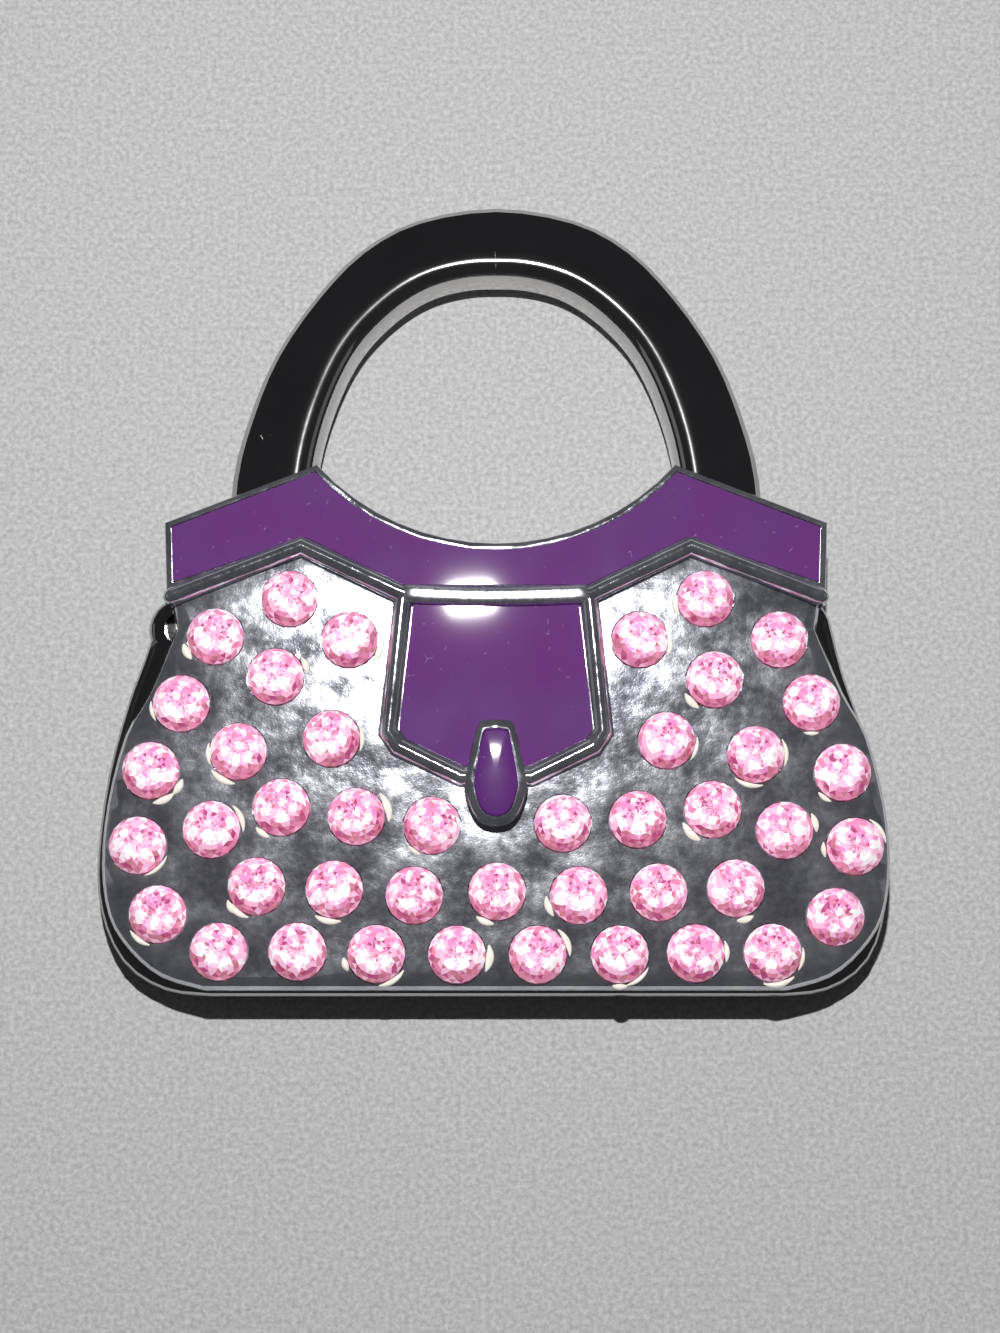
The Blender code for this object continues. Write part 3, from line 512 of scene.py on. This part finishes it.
# %% Set every stone in its seat
chance = random.Random(43)
for number, name in enumerate(stone_names, start=1):
    low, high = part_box(name)
    mesh, turn = cut_stone(f"cut_{name}", chance)
    mesh.materials.append(STONE_GLASS)
    stone = show_mesh(f"brilliant_{number:02d}", mesh)
    stone.location = ((low[0] + high[0]) / 2, (low[1] + high[1]) / 2, low[2])
    stone.rotation_euler = (0, 0, turn)
    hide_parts(name)
    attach(stone, BODY)
print("set", len(stone_names), "stones with", len(mesh.polygons), "facets each")

# %% [markdown]
# ## The worn bead between band and flap
#
# Where band and flap meet, the raised bead has been rubbed flat. The flat top catches the
# light as one broad white bar. It is a separate low strip that lies on the bead of the
# casting, since only its top differs.

# %% Flat top of the middle bead
CREST_HALF_W = 0.66 * MM
CREST_REACH = 6.5 * MM
CREST_SAG = 0.22 * MM
CREST_Y = 12.17 * MM
CREST_TOP = 7.62 * MM
CREST_DROP = 0.5 * MM
CREST_STEPS = 26
CREST_SECTION = ((-1.0, 0.0), (-0.93, 0.5), (-0.72, 0.86), (-0.35, 0.99), (0.0, 1.0),
                 (0.35, 0.99), (0.72, 0.86), (0.93, 0.5), (1.0, 0.0))


def worn_crest():
    bm = bmesh.new()
    rings = []
    for step in range(CREST_STEPS + 1):
        share = 2 * step / CREST_STEPS - 1
        body = min(1.0, 8 * (1 - abs(share)) + 0.35)
        y = CREST_Y - CREST_SAG * (1 - share * share)
        rings.append([bm.verts.new((CREST_REACH * share, y + CREST_HALF_W * across * body,
                                    CREST_TOP - CREST_DROP * (1 - up * body)))
                      for across, up in CREST_SECTION])
    for first, second in zip(rings, rings[1:]):
        for i in range(len(first) - 1):
            bm.faces.new((first[i], second[i], second[i + 1], first[i + 1]))
        bm.faces.new((first[-1], second[-1], second[0], first[0]))
    bm.faces.new(rings[0])
    bm.faces.new(list(reversed(rings[-1])))
    mesh = close_mesh(bm, "worn_crest")
    mesh.shade_smooth()
    mesh.materials.append(WORN_CHROME)
    item = show_mesh("worn_crest", mesh)
    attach(item, BODY)


worn_crest()
print("worn crest of", round(2 * CREST_REACH / MM, 1), "mm")

# %% [markdown]
# ## The handle's inner lip
#
# The handle was buffed along its inner edge, which rolls over softly from the flat face
# into the wall. The roll is what draws the long highlight at the top, and its plating is
# painted a little lighter than the handle's as a painted highlight. It is one thin skin
# over the casting's edge, smoother along its length than the solid below it.

# %% Soft lip along the inside of the arch
LIP_FOOT_Y = 14.0 * MM
LIP_HALF_W = 12.71 * MM
LIP_RISE = 21.0 * MM
LIP_LINE = ((1.0, 0.0), (0.985, 0.30), (0.915, 0.52), (0.770, 0.735), (0.580, 0.870),
            (0.385, 0.955), (0.180, 0.993), (0.0, 1.0))
LIP_SECTION = ((1.75, 4.10), (1.60, 4.125), (1.30, 4.125), (1.05, 4.10), (0.80, 4.03),
               (0.55, 3.90), (0.33, 3.70), (0.15, 3.42), (0.03, 3.05), (-0.02, 2.60),
               (-0.02, 1.20), (0.20, 1.10))
LIP_START = 0.16
LIP_SPAN_STEPS = 6
LIP_SMOOTHINGS = 6
LIP_SHARP = math.radians(50)


def curve_through(points, steps):
    """A smooth line through the points: each span bends with its neighbours."""
    row = [2 * points[0] - points[1], *points, 2 * points[-1] - points[-2]]
    line = []
    for p0, p1, p2, p3 in zip(row, row[1:], row[2:], row[3:]):
        for step in range(steps):
            t = step / steps
            line.append(0.5 * (2 * p1 + (p2 - p0) * t + (2 * p0 - 5 * p1 + 4 * p2 - p3) * t * t
                               + (3 * p1 - p0 - 3 * p2 + p3) * t ** 3))
    line.append(points[-1])
    return line


def soft_lip():
    half = [Vector((x * LIP_HALF_W, LIP_FOOT_Y + y * LIP_RISE)) for x, y in LIP_LINE]
    other_half = [Vector((-p.x, p.y)) for p in reversed(half[:-1])]
    line = curve_through(half + other_half, LIP_SPAN_STEPS)
    line = [p for p in line if p.y > LIP_FOOT_Y + LIP_START * LIP_RISE]
    for _ in range(LIP_SMOOTHINGS):
        line = [line[0], *[(a + 2 * b + c) / 4 for a, b, c in zip(line, line[1:], line[2:])],
                line[-1]]
    bm = bmesh.new()
    rings = []
    for before, point, after in zip([line[0], *line], line, [*line[1:], line[-1]]):
        along = (after - before).normalized()
        out = Vector((along.y, -along.x))
        rings.append([bm.verts.new((*(point + out * across * MM), z * MM))
                      for across, z in LIP_SECTION])
    for first, second in zip(rings, rings[1:]):
        for i in range(len(first)):
            j = (i + 1) % len(first)
            bm.faces.new((first[i], second[i], second[j], first[j]))
    bm.faces.new(rings[0])
    bm.faces.new(list(reversed(rings[-1])))
    mesh = close_mesh(bm, "soft_lip")
    mesh.materials.append(LIP_LIGHTER_PLATING)
    mesh.shade_smooth()
    mesh.set_sharp_from_angle(angle=LIP_SHARP)
    item = show_mesh("soft_lip", mesh)
    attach(item, BODY)
    return len(rings)


print("soft lip of", soft_lip(), "sections")

# %% [markdown]
# ## The clasp's enamel
#
# The drop of enamel on the clasp stands up in the middle, because surface tension holds
# it there while it cures. A low dome over the same outline gives it its own highlight.

# %% Domed enamel on the clasp
DOME_EDGE_DROP = 0.10 * MM
DOME_RISE = 0.17 * MM
DOME_CURVE = 2.6
DOME_SHARES = (1.0, 0.94, 0.85, 0.72, 0.56, 0.38, 0.18)
SAME_HEIGHT = 0.01 * MM
SAME_CORNER = 0.02 * MM


def domed_enamel(node_name):
    low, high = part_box(node_name)
    source = nodes[node_name].data
    top = [v.co.copy() for v in source.vertices if v.co.z > high[2] - SAME_HEIGHT]
    middle = Vector(((low[0] + high[0]) / 2, (low[1] + high[1]) / 2))
    top.sort(key=lambda co: math.atan2(co.y - middle.y, co.x - middle.x))
    outline = []
    for co in top:
        if not outline or (co.xy - outline[-1]).length > SAME_CORNER:
            outline.append(co.xy)
    bm = bmesh.new()
    edge_z = high[2] - DOME_EDGE_DROP
    rings = [[bm.verts.new((*p, low[2])) for p in outline]]
    for share in DOME_SHARES:
        z = edge_z + DOME_RISE * (1 - share ** DOME_CURVE)
        rings.append([bm.verts.new((*(middle + (p - middle) * share), z)) for p in outline])
    count = len(outline)
    for first, second in zip(rings, rings[1:]):
        join_rings(bm, first, second)
    center = bm.verts.new((*middle, edge_z + DOME_RISE))
    for i in range(count):
        bm.faces.new((rings[-1][i], rings[-1][(i + 1) % count], center))
    bm.faces.new(list(reversed(rings[0])))
    mesh = close_mesh(bm, "domed_" + node_name)
    mesh.shade_smooth()
    mesh.materials.append(CLASP_ENAMEL)
    item = show_mesh("domed_" + node_name, mesh)
    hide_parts(node_name)
    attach(item, BODY)
    return count


print("clasp dome of", domed_enamel("clasp_enamel"), "sides")

# %% [markdown]
# ## Glue
#
# The stones are glued in. Where a little too much was used, it stands as a bead beside
# the stone. The clear adhesive is given a bright cream colour and a faint glow: a painted
# glint. Each bead is a low crescent that follows the stone's edge.

# %% Glue beads beside some stones
GLUE_TALL = 0.16 * MM
GLUE_WIDE = 0.42 * MM
GLUE_STEPS = 10
GLUE_SIDES = 8
SEAT_DEPTH = 0.6 * MM
FACE_Z = stone_low[2] + SEAT_DEPTH


def glue_painted_glint():
    material, tree, shader = new_material("glue_painted_glint")
    place = object_place(tree)
    cloud = noise(tree, place, 0.3 * MM, 3.0, 0.5)
    # Bright cream base and a faint glow on the clear glue: a painted glint.
    color = blend_colors(tree, cloud, (0.80, 0.76, 0.62), (1.0, 0.98, 0.90))
    tree.links.new(color, shader.inputs["Base Color"])
    tree.links.new(color, shader.inputs["Emission Color"])
    shader.inputs["Emission Strength"].default_value = 0.15
    tree.links.new(squeeze(tree, cloud, 0.3, 0.7, 0.08, 0.2), shader.inputs["Roughness"])
    shader.inputs["Coat Weight"].default_value = 1.0
    bump(tree, shader, cloud, 0.02 * MM, 0.5)
    return material


def glue_bead(name, center, start, sweep, wide, tall):
    """A crescent of round section along the stone's edge, thin at both ends."""
    bm = bmesh.new()
    rings = []
    for step in range(GLUE_STEPS + 1):
        share = step / GLUE_STEPS
        body = max(math.sin(math.pi * share), 0.12) ** 0.7
        angle = start + sweep * share
        along = Vector((math.cos(angle), math.sin(angle)))
        row = []
        for side in range(GLUE_SIDES):
            turn = math.tau * side / GLUE_SIDES
            out = STONE_R + wide * (0.5 + 0.5 * body * math.cos(turn))
            up = FACE_Z + tall * body * math.sin(turn)
            row.append(bm.verts.new((center[0] + along.x * out,
                                     center[1] + along.y * out, up)))
        rings.append(row)
    for first, second in zip(rings, rings[1:]):
        join_rings(bm, first, second)
    bm.faces.new(list(reversed(rings[0])))
    bm.faces.new(rings[-1])
    mesh = close_mesh(bm, name)
    mesh.shade_smooth()
    return show_mesh(name, mesh)


GLUE = glue_painted_glint()
glued = 0
for number, name in enumerate(stone_names, start=1):
    for _ in range(chance.choice((0, 1, 1, 2))):
        low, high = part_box(name)
        center = ((low[0] + high[0]) / 2, (low[1] + high[1]) / 2)
        glued += 1
        bead = glue_bead(f"glue_{glued:02d}", center, math.radians(chance.uniform(150, 380)),
                         math.radians(chance.uniform(24, 60)),
                         GLUE_WIDE * chance.uniform(0.6, 1.4),
                         GLUE_TALL * chance.uniform(0.7, 1.2))
        bead.data.materials.append(GLUE)
        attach(bead, BODY)
print("glue beads:", glued)

# %% [markdown]
# ## Camera
#
# The photograph looks almost straight down from the bag's lower edge, from about 19 cm.
# The camera stands there: a tilt of nine degrees shows the inner wall of the handle.

# %% Camera
TILT = math.radians(9.0)
CAMERA_PLACE = (0.265 * MM, -21.18 * MM, 186.3 * MM)
FOCUS_PIXELS = 2727
IMAGE_HEIGHT = 1333
camera_data = bpy.data.cameras.new("camera")
camera_data.sensor_fit = "VERTICAL"
camera_data.sensor_height = 24
camera_data.lens = camera_data.sensor_height * FOCUS_PIXELS / IMAGE_HEIGHT
camera_data.clip_start = 1 * MM
camera = bpy.data.objects.new("camera", camera_data)
camera.location = CAMERA_PLACE
camera.rotation_euler = (TILT, 0, 0)
bpy.context.scene.collection.objects.link(camera)
bpy.context.scene.camera = camera
print("camera lens", round(camera_data.lens, 1), "mm")

# %% [markdown]
# ## Floor and light
#
# Mirror metal is lit by what it reflects. The room is almost dark, so the plating reads
# dark. One small bright light, higher than the camera and on the handle's side of it,
# lights the floor and draws the glints. Three faint lights low around lift the rims.

# %% Floor
def floor_paper():
    material, tree, shader = new_material("pale_paper")
    place = object_place(tree)
    fibre = noise(tree, place, 0.34 * MM, 5.0, 0.7)
    tree.links.new(blend_colors(tree, squeeze(tree, fibre, 0.35, 0.65, 0.0, 1.0),
                                (0.44, 0.44, 0.44), (0.68, 0.68, 0.68)),
                   shader.inputs["Base Color"])
    shader.inputs["Roughness"].default_value = 0.9
    bump(tree, shader, fibre, 0.02 * MM, 0.2)
    return material


FLOOR_HALF = 0.6
FLOOR_DROP = 0.02 * MM
floor_mesh = bpy.data.meshes.new("floor")
floor_mesh.from_pydata([(-FLOOR_HALF, -FLOOR_HALF, 0), (FLOOR_HALF, -FLOOR_HALF, 0),
                        (FLOOR_HALF, FLOOR_HALF, 0), (-FLOOR_HALF, FLOOR_HALF, 0)],
                       [], [(0, 1, 2, 3)])
floor_mesh.materials.append(floor_paper())
floor = show_mesh("floor", floor_mesh)
floor.location.z = -FLOOR_DROP
print("floor of", 2 * FLOOR_HALF, "m")

# %% Lights
def area_light(name, place, target, size, power):
    data = bpy.data.lights.new(name, "AREA")
    data.shape = "RECTANGLE"
    data.size, data.size_y = size
    data.energy = power
    light = bpy.data.objects.new(name, data)
    light.location = place
    aim = Vector(target) - Vector(place)
    light.rotation_euler = aim.to_track_quat("-Z", "Y").to_euler()
    bpy.context.scene.collection.objects.link(light)


MIDDLE = (0, 12 * MM, 0)
FLASH_PLACE = (-4.1 * MM, 53 * MM, 230 * MM)
FLASH_SIZE = (6 * MM, 3 * MM)
SIDE_SIZE = (0.30, 0.20)
BACK_SIZE = (0.5, 0.14)
ROOM_COLOR = (0.5, 0.52, 0.56, 1)
ROOM_STRENGTH = 0.05
area_light("flash", FLASH_PLACE, MIDDLE, FLASH_SIZE, 0.50)
area_light("left", (-0.42, 0.02, 0.20), MIDDLE, SIDE_SIZE, 0.03)
area_light("right", (0.42, 0.02, 0.20), MIDDLE, SIDE_SIZE, 0.02)
area_light("back", (0.0, 0.46, 0.18), MIDDLE, BACK_SIZE, 0.08)
world = bpy.data.worlds.new("room")
world.use_nodes = True
backdrop = world.node_tree.nodes["Background"]
backdrop.inputs["Color"].default_value = ROOM_COLOR
backdrop.inputs["Strength"].default_value = ROOM_STRENGTH
bpy.context.scene.world = world
bpy.context.scene.view_settings.view_transform = "Standard"
print("lights set")
